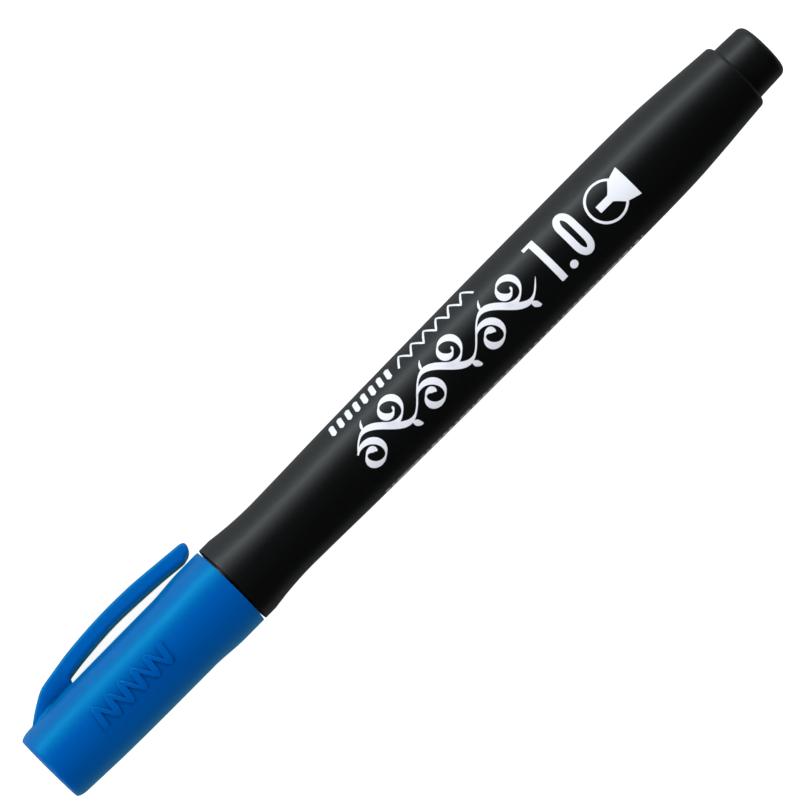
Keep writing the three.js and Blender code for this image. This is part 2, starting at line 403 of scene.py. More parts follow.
def moulded_plastic(name, color, flow_color, roughness, flow=0.5, grain_scale=3000.0,
                    grain_depth=2e-6, marks=0.3, **shader_values):
    """Moulded plastic with grain, flow lines and hairline scuffs."""
    material, tree, shader, coordinates = begin_material(name, **shader_values)
    skin = use_group(tree, moulded_skin, {
        "Vector": coordinates,
        "Color": (*color, 1),
        "Flow Color": (*flow_color, 1),
        "Flow Amount": flow,
        "Grain Scale": grain_scale,
        "Roughness": roughness,
        "Roughness Spread": 0.16,
    })
    scuffs = use_group(tree, handling_marks, {"Vector": coordinates, "Amount": marks})
    scuff_roughness = 0.35
    rougher = calculate(tree, "MULTIPLY_ADD", scuffs["Mask"], scuff_roughness, skin["Roughness"])
    sunk = calculate(tree, "SUBTRACT", skin["Height"], scuffs["Mask"])
    bump = add(tree, "ShaderNodeBump", {"Height": sunk, "Distance": grain_depth, "Strength": 1.0})
    tree.links.new(skin["Color"], shader.inputs["Base Color"])
    tree.links.new(rougher, shader.inputs["Roughness"])
    tree.links.new(bump.outputs[0], shader.inputs["Normal"])
    return material


def fibre(name, dry_color, ink_color, ink_amount, fibre_scale, depth):
    """Fibre stained with ink, for the nib and the reservoir."""
    material, tree, shader, coordinates = begin_material(name, Roughness=0.85)
    bundle = use_group(tree, fibre_bundle, {
        "Vector": coordinates,
        "Dry Color": (*dry_color, 1),
        "Ink Color": (*ink_color, 1),
        "Fibre Scale": fibre_scale,
        "Ink Amount": ink_amount,
    })
    bump = add(tree, "ShaderNodeBump", {"Height": bundle["Height"], "Distance": depth, "Strength": 1.0})
    tree.links.new(bundle["Color"], shader.inputs["Base Color"])
    tree.links.new(bump.outputs[0], shader.inputs["Normal"])
    return material


cap_blue = moulded_plastic(
    "cap_blue", (0.0, 0.080, 0.37), (0.0, 0.070, 0.34), 0.36, flow=0.6, grain_scale=2600.0,
    Specular_Tint=(0.0, 0.92, 0.95, 1.0), Specular_IOR_Level=1.0,
    Sheen_Weight=0.2, Sheen_Roughness=0.45, Sheen_Tint=(0.0, 0.8, 1.0, 1.0),
)
barrel_black = moulded_plastic(
    "barrel_black", (0.0020, 0.0020, 0.0022), (0.0032, 0.0033, 0.0035), 0.37, flow=0.6,
    grain_scale=5200.0, grain_depth=4e-6, Specular_Tint=(0.93, 0.98, 1.0, 1.0),
)
section_black = moulded_plastic(
    "section_black", (0.006, 0.006, 0.007), (0.009, 0.009, 0.010), 0.28, marks=0.5,
)
liner_natural = moulded_plastic(
    "liner_natural", (0.72, 0.74, 0.72), (0.62, 0.65, 0.64), 0.45, flow=0.8,
)
film_clear = moulded_plastic(
    "film_clear", (0.72, 0.74, 0.78), (0.66, 0.68, 0.72), 0.15, Alpha=0.45,
)
print_white = moulded_plastic(
    "print_white", (0.80, 0.82, 0.88), (0.72, 0.74, 0.82), 0.5, flow=0.7, grain_scale=9000.0,
    grain_depth=3e-6, marks=0.1,
)
nib_fibre = fibre("nib_fibre", (0.30, 0.34, 0.42), (0.004, 0.03, 0.16), 0.62, 7000.0, 1.5e-5)
reservoir_fibre = fibre("reservoir_fibre", (0.62, 0.66, 0.72), (0.01, 0.06, 0.30), 0.6, 3600.0, 3e-5)

# -------------------- cap

LIP_EDGE = 0.12
CAP_SKIN = [
    *arc(2.0, 5.15, 2.0, 0.65, 180, 90, 16),
    *smooth([(2.0, 5.80), (5.5, 5.95), (10, 6.09), (16, 6.16), (26, 6.19)], 5)[1:],
    *stretch(26, 31.6, 16, lambda u: mix(6.19, LIP_R, ease(u)))[1:],
    *arc(LIP - LIP_EDGE, LIP_R - LIP_EDGE, LIP_EDGE, LIP_EDGE, 90, 0, 5),
]
CLIP_BACK = smooth([
    (1.2, 4.5), (2.4, 5.52), (3.0, 6.0), (4.0, 6.74), (5.2, 7.50), (6.4, 8.18), (7.4, 8.53),
    (9.3, 8.86), (13.6, 9.48), (19.5, CLIP_CREST_R), (25.2, 9.79), (29.8, 9.40), (33.4, 9.05),
    (34.4, 8.96), (34.85, 8.84), (CLIP_END, 8.62),
], 8)
CLIP_UNDERSIDE = smooth([
    (1.2, 4.95), (5.5, 5.98), (6.6, 6.25), (10.8, 6.92), (14.6, 7.40), (20.8, 7.76),
    (28.5, 7.40), (32.6, 6.98), (33.5, 7.05), (34.2, 7.25), (34.75, 7.66), (CLIP_END, 8.22),
], 8)
CLIP_START = 1.6          # hidden in the cap's wall
CLIP_STEPS = 170
CORNER_STEPS = 6
EDGE_ROUND = 0.5          # the clip's long edges, less where it is thin
NOSE_START = 33.2         # where the clip's end begins to round off in plan
WEB_END = 10.55           # a thin web joins the clip to the cap up to here
WEB_RISE = 0.45           # how far the web's rounded end reaches beyond that
WEB_RECESS = 1.0          # how far the web's sides stand back from the clip's
RECESS_FROM, RECESS_TO = 4.2, 7.6   # where they draw in from the root to the web
WEB_ROUND = 1.0           # the clip's lower edge above the web
WEB_CURVE = 1.4           # how late that edge starts to swing outwards
ROOT_FILLET = 0.42        # the hollow where the clip's root meets the cap
WEB_FILLET = 0.3          # the same hollow beside the web
FILLET_FROM, FILLET_TO = 4.6, 7.4   # where the hollow narrows from one to the other
LEAST_SKIN = 0.08         # what the hollow leaves of the root where it rises from the cap
NOSE_SHARE = 0.45         # the clip's end is at least this share of its width


def radius_on(curve, station):
    """The radius of an outline at a station."""
    for (s0, r0), (s1, r1) in zip(curve, curve[1:]):
        if s0 <= station <= s1:
            return mix(r0, r1, (station - s0) / (s1 - s0))
    return curve[-1][1]


def cap_tube():
    """The cap's shell: a flat closed end with a gate mark, a long tube and a flared lip."""
    gate_r = 0.8
    gate_depth = 0.15
    closed_end = [(gate_depth, 0), (gate_depth, gate_r - 0.1), (0.02, gate_r + 0.03), (0, gate_r + 0.12)]
    inside = [
        *arc(LIP - LIP_EDGE, LIP_BORE_R + LIP_EDGE, LIP_EDGE, LIP_EDGE, 0, -90, 5),
        (29, LIP_BORE_R),
        (LINER_MOUTH + 0.5, LINER_BORE_R),
        (1.8, LINER_BORE_R),
        (1.5, LINER_BORE_R - 0.3),
        (1.5, 0),
    ]
    return new_piece("cap_tube", turned_mesh(closed_end + CAP_SKIN + inside, FACETS), cap_blue)


def sealing_liner():
    """The cup inside the cap that keeps the nib from drying out."""
    r = LINER_BORE_R - FIT
    floor = LINER_START + 0.9
    bore = 3.9
    outline = [
        (LINER_START, 0),
        *arc(LINER_START + 0.4, r - 0.4, 0.4, 0.4, 180, 90, 5),
        (LINER_MOUTH - 1.2, r),
        (LINER_MOUTH - 0.06, r - 0.3),
        (LINER_MOUTH, r - 0.36),
        (LINER_MOUTH, bore + 0.31),
        (LINER_MOUTH - 0.06, bore + 0.25),
        (LINER_MOUTH - 0.8, bore),
        *arc(floor + 0.4, bore - 0.4, 0.4, 0.4, 90, 180, 5),
        (floor, 0),
    ]
    return new_piece("sealing_liner", turned_mesh(outline, CORE_FACETS), liner_natural)


def fade(start, end, station):
    """From 0 at the first station to 1 at the second, with soft ends."""
    return ease(min(max((station - start) / (end - start), 0), 1))


def rooted_side(station, half_width, low, high, edge):
    """One side of the clip where it stands on its web: a hollow on the cap, the web, the lower edge."""
    surface = radius_on(CAP_SKIN, station)
    recess = WEB_RECESS * fade(RECESS_FROM, RECESS_TO, station)
    fillet = mix(ROOT_FILLET, WEB_FILLET, fade(FILLET_FROM, FILLET_TO, station))
    fillet = max(min(fillet, high - surface - LEAST_SKIN), 0.01)
    web = half_width - recess
    across = web + fillet
    up = math.sqrt((surface + fillet) ** 2 - across**2)
    touch = math.degrees(math.atan2(-up, -across))
    points = arc(across, up, fillet, fillet, touch, -180, CORNER_STEPS)
    top = max(min(low + WEB_ROUND, high - edge), up + 0.001)
    for i in range(1, CORNER_STEPS + 1):
        u = i / CORNER_STEPS
        points.append((web + recess * math.sin(u * math.pi / 2), mix(up, top, u**WEB_CURVE)))
    return points


def clip_ring(station):
    """One cross-section of the clip, from its lower middle up one side and down the other."""
    low, high = radius_on(CLIP_UNDERSIDE, station), radius_on(CLIP_BACK, station)
    half_width = CLIP_HALF_WIDTH
    if station > NOSE_START:
        ahead = (station - NOSE_START) / (CLIP_END - NOSE_START)
        half_width *= mix(NOSE_SHARE, 1, math.sqrt(max(1 - ahead**3, 0)))
    edge = min(EDGE_ROUND, 0.48 * (high - low), 0.9 * half_width)
    side = arc(half_width - edge, low + edge, edge, edge, -90, 0, 2 * CORNER_STEPS)
    rooted = 1 - fade(WEB_END - 0.15, WEB_END + WEB_RISE, station)
    if rooted > 0:
        on_web = rooted_side(station, half_width, low, high, edge)
        side = [(mix(a, c, rooted), mix(b, d, rooted)) for (a, b), (c, d) in zip(side, on_web)]
    side += arc(half_width - edge, high - edge, edge, edge, 0, 90, CORNER_STEPS)
    other_side = [(-across, up) for across, up in reversed(side)]
    return [(station, across, up) for across, up in side + other_side]


def clip_arm():
    """The springy clip with its root, which grows out of the cap without a seam."""
    reach = CLIP_END - CLIP_START
    closer_at_nose = 1.4
    stations = [
        CLIP_START + reach * (1 - (1 - i / CLIP_STEPS) ** closer_at_nose) for i in range(CLIP_STEPS)
    ]
    just_short = 0.004
    stations.append(CLIP_END - just_short)
    web_from, web_to = WEB_END - 0.2, WEB_END + WEB_RISE + 0.1
    near_web = [mix(web_from, web_to, i / 16) for i in range(17)]
    stations = sorted(stations + near_web)
    return new_piece("clip_arm", skinned_mesh([clip_ring(s) for s in stations]), cap_blue, 50)


# -------------------- barrel and writing unit


def barrel_outside():
    shoulder_edge = 0.1
    shoulder_end = 37.6
    return [
        *arc(SHOULDER + shoulder_edge, LIP_R - shoulder_edge, shoulder_edge, shoulder_edge, 180, 90, 5),
        *stretch(shoulder_end, WAIST, 20, lambda u: WAIST_R + (LIP_R - WAIST_R) * (1 - u) ** 2),
        *smooth([
            (WAIST, WAIST_R), (51, 6.05), (58, 6.20), (70, 6.36), (85, 6.50), (99, 6.56),
            (112, BELLY_R), (120, 6.45), (126, 6.09), (130.2, 5.75), (133.8, 5.48),
        ], 8)[1:],
        *arc(133.9, 4.78, BARREL_END - 133.9, 0.7, 80, 0, 12),
    ]


def barrel_body():
    inside = [
        (BARREL_END, TAIL_BORE_R + 0.06),
        (BARREL_END - 0.06, TAIL_BORE_R),
        (125.2, TAIL_BORE_R),
        (124.6, BARREL_BORE_R),
        (SHOULDER + 0.15, BARREL_BORE_R),
        (SHOULDER, BARREL_BORE_R + 0.15),
    ]
    return new_piece("barrel_body", turned_mesh(barrel_outside() + inside, FACETS), barrel_black)


def tail_nub():
    """The plug that closes the tail, a cup with its mouth inside the barrel."""
    neck = 4.57
    nub = 4.43
    rounding = 1.1
    bore = 3.4
    floor = LENGTH - 2.2
    outline = [
        (PLUG_START, neck - 0.3),
        (PLUG_START + 0.5, neck),
        (BARREL_END + 0.3, neck),
        *arc(LENGTH - rounding, nub - rounding, rounding, rounding, 90, 0, 14),
        (LENGTH, 0.9),
        (LENGTH - 0.02, 0.82),
        (LENGTH - 0.12, 0.7),
        (LENGTH - 0.12, 0),
        (floor, 0),
        *arc(floor - 0.4, bore - 0.4, 0.4, 0.4, 0, 90, 5),
        (PLUG_START, bore),
    ]
    return new_piece("tail_nub", turned_mesh(outline, FACETS), barrel_black)


def writing_section():
    """The nose that holds the nib, with the land the liner seals on, the grip and the collar."""
    tenon = BARREL_BORE_R - FIT
    land = 3.85
    face = SHOULDER - FIT
    outline = [
        *arc(NOSE + 0.5, 2.15, 0.5, 0.45, 180, 90, 8),
        (20.4, land - 0.25),
        *arc(21.2, land - 0.15, 0.5, 0.15, 150, 90, 4),
        (LINER_MOUTH + 0.2, land),
        (LINER_MOUTH + 1.1, 4.42),
        (LINER_MOUTH + 1.3, 4.5),
        (32.5, 4.98),
        (32.9, COLLAR_R - 0.1),
        *arc(33.1, COLLAR_R - 0.1, 0.1, 0.1, 180, 90, 4),
        (face, COLLAR_R),
        (face, tenon),
        (SECTION_END - 0.6, tenon),
        (SECTION_END, tenon - 0.2),
        (SECTION_END, FILM_R + FIT),
        (39.5, FILM_R + FIT),
        (30, NIB_CHANNEL_R),
        (NOSE, NIB_CHANNEL_R),
    ]
    return new_piece("writing_section", turned_mesh(outline, CORE_FACETS), section_black)


def nib_holder():
    outer = NIB_CHANNEL_R - FIT
    inner = NIB_R + 0.06
    outline = [
        (SLEEVE_START, outer - 0.25),
        *arc(SLEEVE_START + 0.3, outer - 0.25, 0.3, 0.25, 150, 90, 4),
        (SLEEVE_END, outer),
        (SLEEVE_END, inner),
        (SLEEVE_START, inner),
    ]
    return new_piece("nib_holder", turned_mesh(outline, CORE_FACETS), liner_natural)


def chisel_nib():
    """A round fibre stem ground flat on four sides to a slanted edge 1.0 mm wide."""
    chisel = 5.2
    half_width, half_thick = 0.5, 0.25
    slant = 0.3
    points = 64
    rings = []
    for i in range(25):
        u = i / 24
        wide = mix(half_width, NIB_R + 0.1, u)
        thick = mix(half_thick, NIB_R + 0.1, u)
        ring = []
        for k in range(points):
            angle = 2 * math.pi * (k + 0.5) / points
            across, up = math.sin(angle), math.cos(angle)
            reach = min(NIB_R, wide / abs(up), thick / abs(across))
            skew = slant * (1 - u) * (up * reach / wide + 1) / 2
            ring.append((NIB_TIP + chisel * u + skew, across * reach, up * reach))
        rings.append(ring)
    rings.append([(NIB_END, y, z) for _, y, z in rings[-1]])
    return new_piece("chisel_nib", skinned_mesh(rings), nib_fibre)


def ink_reservoir():
    socket = NIB_R + 0.06
    blind = NIB_END + 0.3
    outline = [
        (RESERVOIR_START, socket),
        (RESERVOIR_START, RESERVOIR_R - 0.1),
        (RESERVOIR_START + 0.1, RESERVOIR_R),
        (RESERVOIR_END - 0.1, RESERVOIR_R),
        (RESERVOIR_END, RESERVOIR_R - 0.1),
        (RESERVOIR_END, 0),
        (blind, 0),
        (blind, socket),
    ]
    return new_piece("ink_reservoir", turned_mesh(outline, CORE_FACETS), reservoir_fibre)


def reservoir_wrap():
    inner = RESERVOIR_R + FIT
    outline = [
        (RESERVOIR_START, inner),
        (RESERVOIR_START, FILM_R),
        (RESERVOIR_END, FILM_R),
        (RESERVOIR_END, inner),
    ]
    return new_piece("reservoir_wrap", turned_mesh(outline, CORE_FACETS), film_clear)


# -------------------- geometry node trees


def make_lay_on_pen():
    """Wraps flat marks (x a station, y an arc length, z a height, in millimetres) round the pen's surface."""
    tree, given, result = new_group(
        "lay_on_pen",
        "GeometryNodeTree",
        [
            ("Marks", "Geometry"),
            ("Surface", "Object"),
            ("Start X", "Float", CAP_END_X),
            ("Axis Y", "Float", AXIS_Y),
            ("Axis Z", "Float", AXIS_Z),
            ("Facing Angle", "Float", PRINT_FACING),
            ("Unroll Radius", "Float", UNROLL_R),
        ],
        [("Marks", "Geometry")],
    )
    station, arc_length, height = position(tree)
    turn = calculate(tree, "DIVIDE", arc_length, given["Unroll Radius"])
    angle = calculate(tree, "ADD", turn, given["Facing Angle"])
    outwards = combine(tree, Y=calculate(tree, "SINE", angle), Z=calculate(tree, "COSINE", angle))
    along = calculate(tree, "MULTIPLY_ADD", station, MM, given["Start X"])
    on_axis = combine(tree, X=along, Y=given["Axis Y"], Z=given["Axis Z"])
    well_outside = 2 * BELLY_R * MM

    def step(start, distance):
        """A place moved outwards from the pen's axis."""
        scaled = add(tree, "ShaderNodeVectorMath", {0: outwards, "Scale": distance}, operation="SCALE")
        inputs = {0: start, 1: scaled.outputs[0]}
        return add(tree, "ShaderNodeVectorMath", inputs, operation="ADD").outputs[0]

    inwards = add(tree, "ShaderNodeVectorMath", {0: outwards, "Scale": -1.0}, operation="SCALE")
    surface = add(tree, "GeometryNodeObjectInfo", {"Object": given["Surface"]}, transform_space="RELATIVE")
    landing = add(tree, "GeometryNodeRaycast", {
        "Target Geometry": surface.outputs["Geometry"],
        "Source Position": step(on_axis, well_outside),
        "Ray Direction": inwards.outputs[0],
        "Ray Length": well_outside,
    })
    lift = calculate(tree, "MULTIPLY", height, MM)
    laid = add(tree, "GeometryNodeSetPosition", {
        "Geometry": given["Marks"],
        "Position": step(landing.outputs["Hit Position"], lift),
    })
    tree.links.new(laid.outputs[0], result["Marks"])
    return tree


def finish_marks(tree, given, result, marks):
    """Lays flat marks on the pen and ends the tree."""
    inputs = {"Marks": marks, "Surface": given["Surface"]}
    laid = add(tree, "GeometryNodeGroup", inputs, node_tree=lay_on_pen)
    solid = add(tree, "GeometryNodeRealizeInstances", {0: laid.outputs[0]})
    coated = add(tree, "GeometryNodeSetMaterial", {0: solid.outputs[0], "Material": given["Material"]})
    tree.links.new(coated.outputs[0], result["Marks"])


def nib_width(tree, given):
    """A broad nib's width from the way that the line heads."""
    heading_x, heading_y, _ = separate(tree, tree.nodes.new("GeometryNodeInputTangent").outputs[0])
    heading = calculate(tree, "ARCTAN2", heading_y, heading_x)
    across_nib = calculate(tree, "SINE", calculate(tree, "SUBTRACT", heading, given["Nib Angle"]))
    wide = calculate(tree, "MULTIPLY", across_nib, given["Nib Width"])
    thin = given["Hairline"]
    squares = calculate(tree, "MULTIPLY_ADD", wide, wide, calculate(tree, "MULTIPLY", thin, thin))
    return calculate(tree, "SQRT", squares)


def stroke_section(tree, edge_round):
    """A closed outline, 1 wide and 1 tall, lower at its upper edges, that keeps each point's height."""
    spans = 8
    row = add(tree, "GeometryNodeMeshLine", {
        "Count": 2 * spans + 2,
        "Start Location": (0, 0, 0),
        "Offset": (1, 0, 0),
    }, mode="OFFSET")
    index = tree.nodes.new("GeometryNodeInputIndex").outputs[0]
    on_top = calculate(tree, "LESS_THAN", index, spans + 0.5)
    share = calculate(tree, "DIVIDE", calculate(tree, "MODULO", index, spans + 1), spans)
    top_x = calculate(tree, "SUBTRACT", share, 0.5)
    x = calculate(tree, "MULTIPLY", top_x, calculate(tree, "MULTIPLY_ADD", on_top, 2.0, -1.0))
    at_edge = calculate(tree, "GREATER_THAN", calculate(tree, "ABSOLUTE", top_x), 0.49)
    lowered = calculate(tree, "MULTIPLY", calculate(tree, "MULTIPLY", at_edge, on_top), edge_round)
    y = calculate(tree, "SUBTRACT", on_top, lowered)
    section = add(tree, "GeometryNodeSetPosition", {
        "Geometry": row.outputs[0],
        "Position": combine(tree, X=x, Y=y),
    })
    section = add(tree, "GeometryNodeMeshToCurve", {0: section.outputs[0]})
    section = add(tree, "GeometryNodeSetSplineCyclic", {0: section.outputs[0], "Cyclic": True})
    _, height, _ = position(tree)
    return add(tree, "GeometryNodeStoreNamedAttribute", {
        0: section.outputs[0],
        "Name": "height",
        "Value": height,
    }, data_type="FLOAT", domain="POINT").outputs[0]


def flatten(tree, given, swept):
    """Strokes as flat films: their height comes from the section, and not from how wide they are."""
    height = add(tree, "GeometryNodeInputNamedAttribute", {"Name": "height"}, data_type="FLOAT")
    thickness = calculate(tree, "ADD", given["Film Height"], given["Film Sink"])
    above_foot = calculate(tree, "MULTIPLY", height.outputs[0], thickness)
    level = calculate(tree, "SUBTRACT", above_foot, given["Film Sink"])
    x, y, _ = position(tree)
    return add(tree, "GeometryNodeSetPosition", {
        "Geometry": swept,
        "Position": combine(tree, X=x, Y=y, Z=level),
    }).outputs[0]


def make_pen_strokes():
    """Broad-nib strokes along drawn lines: wide across the nib's edge, hairline along it."""
    tree, given, result = new_group(
        "pen_strokes",
        "GeometryNodeTree",
        [
            ("Lines", "Geometry"),
            ("Surface", "Object"),
            ("Material", "Material"),
            ("Nib Width", "Float", 1.0),
            ("Hairline", "Float", 0.28),
            ("Nib Angle", "Float", 0.7),
            ("Film Height", "Float", 0.02),
            ("Film Sink", "Float", 0.01),
            ("Edge Round", "Float", 0.06),
        ],
        [("Marks", "Geometry")],
    )
    curves = add(tree, "GeometryNodeMeshToCurve", {0: given["Lines"]})
    curves = add(tree, "GeometryNodeSetCurveNormal", {0: curves.outputs[0]}, mode="Z_UP")
    pressure = add(tree, "GeometryNodeInputNamedAttribute", {"Name": "pressure"}, data_type="FLOAT")
    swept = add(tree, "GeometryNodeCurveToMesh", {
        "Curve": curves.outputs[0],
        "Profile Curve": stroke_section(tree, given["Edge Round"]),
        "Scale": calculate(tree, "MULTIPLY", nib_width(tree, given), pressure.outputs[0]),
        "Fill Caps": True,
    })
    finish_marks(tree, given, result, flatten(tree, given, swept.outputs[0]))
    return tree


def make_fine_rows():
    """A row of short dashes of random length, like a line of very small print."""
    tree, given, result = new_group(
        "fine_rows",
        "GeometryNodeTree",
        [
            ("Marks", "Geometry"),
            ("Surface", "Object"),
            ("Material", "Material"),
            ("Count", "Int", 30),
            ("Start", "Vector"),
            ("Pitch", "Float", 1.2),
            ("Shortest", "Float", 0.25),
            ("Longest", "Float", 0.95),
            ("Height", "Float", 0.35),
            ("Film Height", "Float", 0.02),
            ("Seed", "Int", 1),
        ],
        [("Marks", "Geometry")],
    )
    places = add(tree, "GeometryNodeMeshLine", {
        "Count": given["Count"],
        "Start Location": given["Start"],
        "Offset": combine(tree, X=given["Pitch"]),
    }, mode="OFFSET")
    dash = add(tree, "GeometryNodeMeshCube", {
        "Size": (1, 1, 1),
        "Vertices X": 4,
        "Vertices Y": 3,
        "Vertices Z": 2,
    })
    share = add(tree, "FunctionNodeRandomValue", {
        "Min": given["Shortest"],
        "Max": given["Longest"],
        "Seed": given["Seed"],
    }, data_type="FLOAT")
    length = calculate(tree, "MULTIPLY", share.outputs["Value"], given["Pitch"])
    thick = calculate(tree, "MULTIPLY", given["Film Height"], 2.0)
    row = add(tree, "GeometryNodeInstanceOnPoints", {
        "Points": places.outputs["Mesh"],
        "Instance": dash.outputs["Mesh"],
        "Scale": combine(tree, X=length, Y=given["Height"], Z=thick),
    })
    real = add(tree, "GeometryNodeRealizeInstances", {0: row.outputs[0]})
    finish_marks(tree, given, result, real.outputs[0])
    return tree


lay_on_pen = make_lay_on_pen()
pen_strokes = make_pen_strokes()
fine_rows = make_fine_rows()


def grow(name, tree, values, base=None):
    """A plain mesh object from a geometry tree, with its inputs set by name."""
    holder = new_object(name + "_holder", base or bpy.data.meshes.new(name + "_base"))
    modifier = holder.modifiers.new(name, "NODES")
    modifier.node_group = tree
    for socket in tree.interface.items_tree:
        if socket.in_out == "INPUT" and socket.name in values:
            modifier[socket.identifier] = values[socket.name]
    graph = bpy.context.evaluated_depsgraph_get()
    mesh = bpy.data.meshes.new_from_object(holder.evaluated_get(graph), depsgraph=graph)
    bpy.data.objects.remove(holder)
    mesh.name = name
    maker = bmesh.new()
    maker.from_mesh(mesh)
    bmesh.ops.remove_doubles(maker, verts=maker.verts, dist=1e-7)
    return mesh_object(name, mesh, maker, 40)


# -------------------- print and relief


def line_mesh(name, strokes):
    """Flat lines to draw along. A stroke is its points, the pressure at each, and whether it closes."""
    corners, pressures, edges = [], [], []
    for points, pressure, closes in strokes:
        first = len(corners)
        corners += [(a, b, 0) for a, b in points]
        pressures += pressure
        edges += [(k, k + 1) for k in range(first, len(corners) - 1)]
        if closes:
            edges.append((len(corners) - 1, first))
    mesh = bpy.data.meshes.new(name)
    mesh.from_pydata(corners, edges, [])
    mesh.attributes.new("pressure", "FLOAT", "POINT").data.foreach_set("value", pressures)
    return mesh


def tapered(points, start_taper, end_taper, full=1.0):
    """A stroke whose pressure grows over its first share and fades over its last."""
    last = len(points) - 1
    lightest = 0.12
    fullness = 0.6
    pressure = []
    for i in range(len(points)):
        u = i / last
        rise = min(u / start_taper, 1) if start_taper else 1
        fall = min((1 - u) / end_taper, 1) if end_taper else 1
        pressure.append(full * mix(lightest, 1, min(rise, fall) ** fullness))
    return points, pressure, False


def even(points, closes=False, full=1.0):
    """A stroke of one pressure."""
    return points, [full] * len(points), closes


def curl_points(root, middle, side):
    """A spiral that leaves the stem at a station and winds up beside it."""
    ahead, aside = 1.65, 1.6
    turns = 1.35
    wide = 2.3
    shrink = 0.72
    steps = 72
    points = []
    for k in range(steps + 1):
        u = k / steps
        angle = math.atan2(aside, -ahead) - 2 * math.pi * turns * u
        r = wide * (1 - shrink * u)
        points.append((
            root + ahead + r * math.cos(angle),
            middle - side * aside + side * r * math.sin(angle),
        ))
    return points


def leaf_points(foot, side):
    """A short leaf that bends forward."""
    reach, rise, droop = 0.9, 2.3, 0.9
    shares = [k / 10 for k in range(11)]
    return [(foot[0] + reach * t, foot[1] + side * (rise * t - droop * t * t)) for t in shares]


def scroll_strokes():
    """A vine scroll: a waving stem with a curl in each hollow of the wave."""
    start, end = 60.0, 94.6
    half_waves = 6
    middle = 0.2
    swing = 1.9
    step = (end - start) / half_waves
    stem = stretch(start, end, 240, lambda u: middle + swing * math.sin(u * half_waves * math.pi))
    strokes = [tapered(stem, 0.03, 0.03)]
    for i in range(half_waves):
        side = 1 if i % 2 == 0 else -1
        strokes.append(tapered(curl_points(start + i * step, middle, side), 0.0, 0.12))
        foot = (start + (i + 0.5) * step, middle + side * (swing + 0.15))
        strokes.append(tapered(leaf_points(foot, side), 0.3, 0.6, 0.9))
    return strokes


def numeral_strokes():
    """The line width in millimetres, 1.0, in plain rounded figures."""
    stem, top, tall = 97.36, 4.33, 7.4
    one = [(stem, top - tall * k / 12) for k in range(13)]
    flag_reach, flag_level = 1.35, 4.04
    flag = [(97.2 - flag_reach * k / 4, flag_level) for k in range(5)]
    centre, middle = 102.52, 0.62
    half_width, round_end, straight = 0.96, 1.7, 1.5
    zero = []
    for side, turn in ((1, 0), (-1, 180)):
        zero += arc(centre, middle + side * straight, half_width, round_end, turn, turn + 180, 24)
        edge = centre - side * half_width
        zero += [(edge, middle + side * straight * (1 - k / 6)) for k in range(1, 12)]
    return [even(one), even(flag, full=0.55), even(zero, closes=True)]


def dot_strokes():
    """The decimal point, a short wide stroke."""
    centre, level = 99.64, -2.46
    half_length, half_width = 0.61938, 0.62
    thinnest = 0.02
    angles = [math.pi * k / 12 for k in range(13)]
    points = [(centre - half_length * math.cos(angle), level) for angle in angles]
    pressure = [max(2 * half_width * math.sin(angle), thinnest) for angle in angles]
    return [(points, pressure, False)]


def nib_sign_strokes():
    """A ring with a plain flat nib across it."""
    ring = arc(108.85, 0.55, 2.98, 2.98, 0, 360, 96)[:-1]
    nib_level = 0.42
    half_widths = [
        (107.2, 0.56), (109.5, 0.56), (110.0, 1.0), (110.9, 1.95), (112.0, 2.3), (113.1, 2.62),
    ]
    nib, pressure = [], []
    for (s0, w0), (s1, w1) in zip(half_widths, half_widths[1:]):
        for k in range(5):
            nib.append((mix(s0, s1, k / 5), nib_level))
            pressure.append(2 * mix(w0, w1, k / 5))
    nib.append((half_widths[-1][0], nib_level))
    pressure.append(2 * half_widths[-1][1])
    return [even(ring, closes=True, full=0.38), (nib, pressure, False)]


def border_strokes():
    """A row of practice strokes above the scroll: bold slanted ones, and then a light zigzag."""
    foot, head = 5.0, 7.4
    bold_start, bold_pitch, bold_count = 59.9, 1.55, 8
    lean = 0.45
    strokes = []
    for i in range(bold_count):
        station = bold_start + bold_pitch * i
        points = [(station + lean * k / 8, mix(foot, head, k / 8)) for k in range(9)]
        strokes.append(tapered(points, 0.1, 0.1, 0.85))
    light_start, light_pitch, light_count = 72.6, 1.22, 12
    light_foot = foot + 0.2
    zigzag = []
    for i in range(light_count):
        ends = (light_foot, head) if i % 2 == 0 else (head, light_foot)
        zigzag += [(light_start + light_pitch * (i + k / 8), mix(*ends, k / 8)) for k in range(8)]
    zigzag.append((light_start + light_pitch * light_count, light_foot))
    strokes.append(even(zigzag, full=0.34))
    return strokes


def relief_strokes():
    """A raised zigzag of practice strokes in the cap's side."""
    start, end = 9.4, 24.4
    count = 6
    pitch = (end - start) / count
    half_tall = 1.7
    lean = 0.5
    zigzag = []
    for i in range(count):
        foot = start + pitch * i
        head = foot + lean
        zigzag += [(mix(foot, head, k / 10), mix(-half_tall, half_tall, k / 10)) for k in range(11)]
        if i < count - 1:
            following = foot + pitch
            zigzag += [
                (mix(head, following, k / 10), mix(half_tall, -half_tall, k / 10)) for k in range(1, 10)
            ]
    return [even(zigzag)]


INK_FILM = 0.018
BROAD_PEN = {"Nib Width": 0.98, "Hairline": 0.24, "Nib Angle": math.radians(40)}
NUMERAL_PEN = {"Nib Width": 0.0, "Hairline": 1.05}
PLAIN_PEN = {"Nib Width": 0.0, "Hairline": 1.0}


def printed(name, strokes, pen, surface):
    """A printed mark: strokes drawn with a pen on a surface."""
    settings = {
        "Surface": surface,
        "Material": print_white,
        "Film Height": INK_FILM,
        "Film Sink": 0.012,
        "Edge Round": 0.3,
        **pen,
    }
    return grow(name, pen_strokes, settings, line_mesh(name + "_lines", strokes))


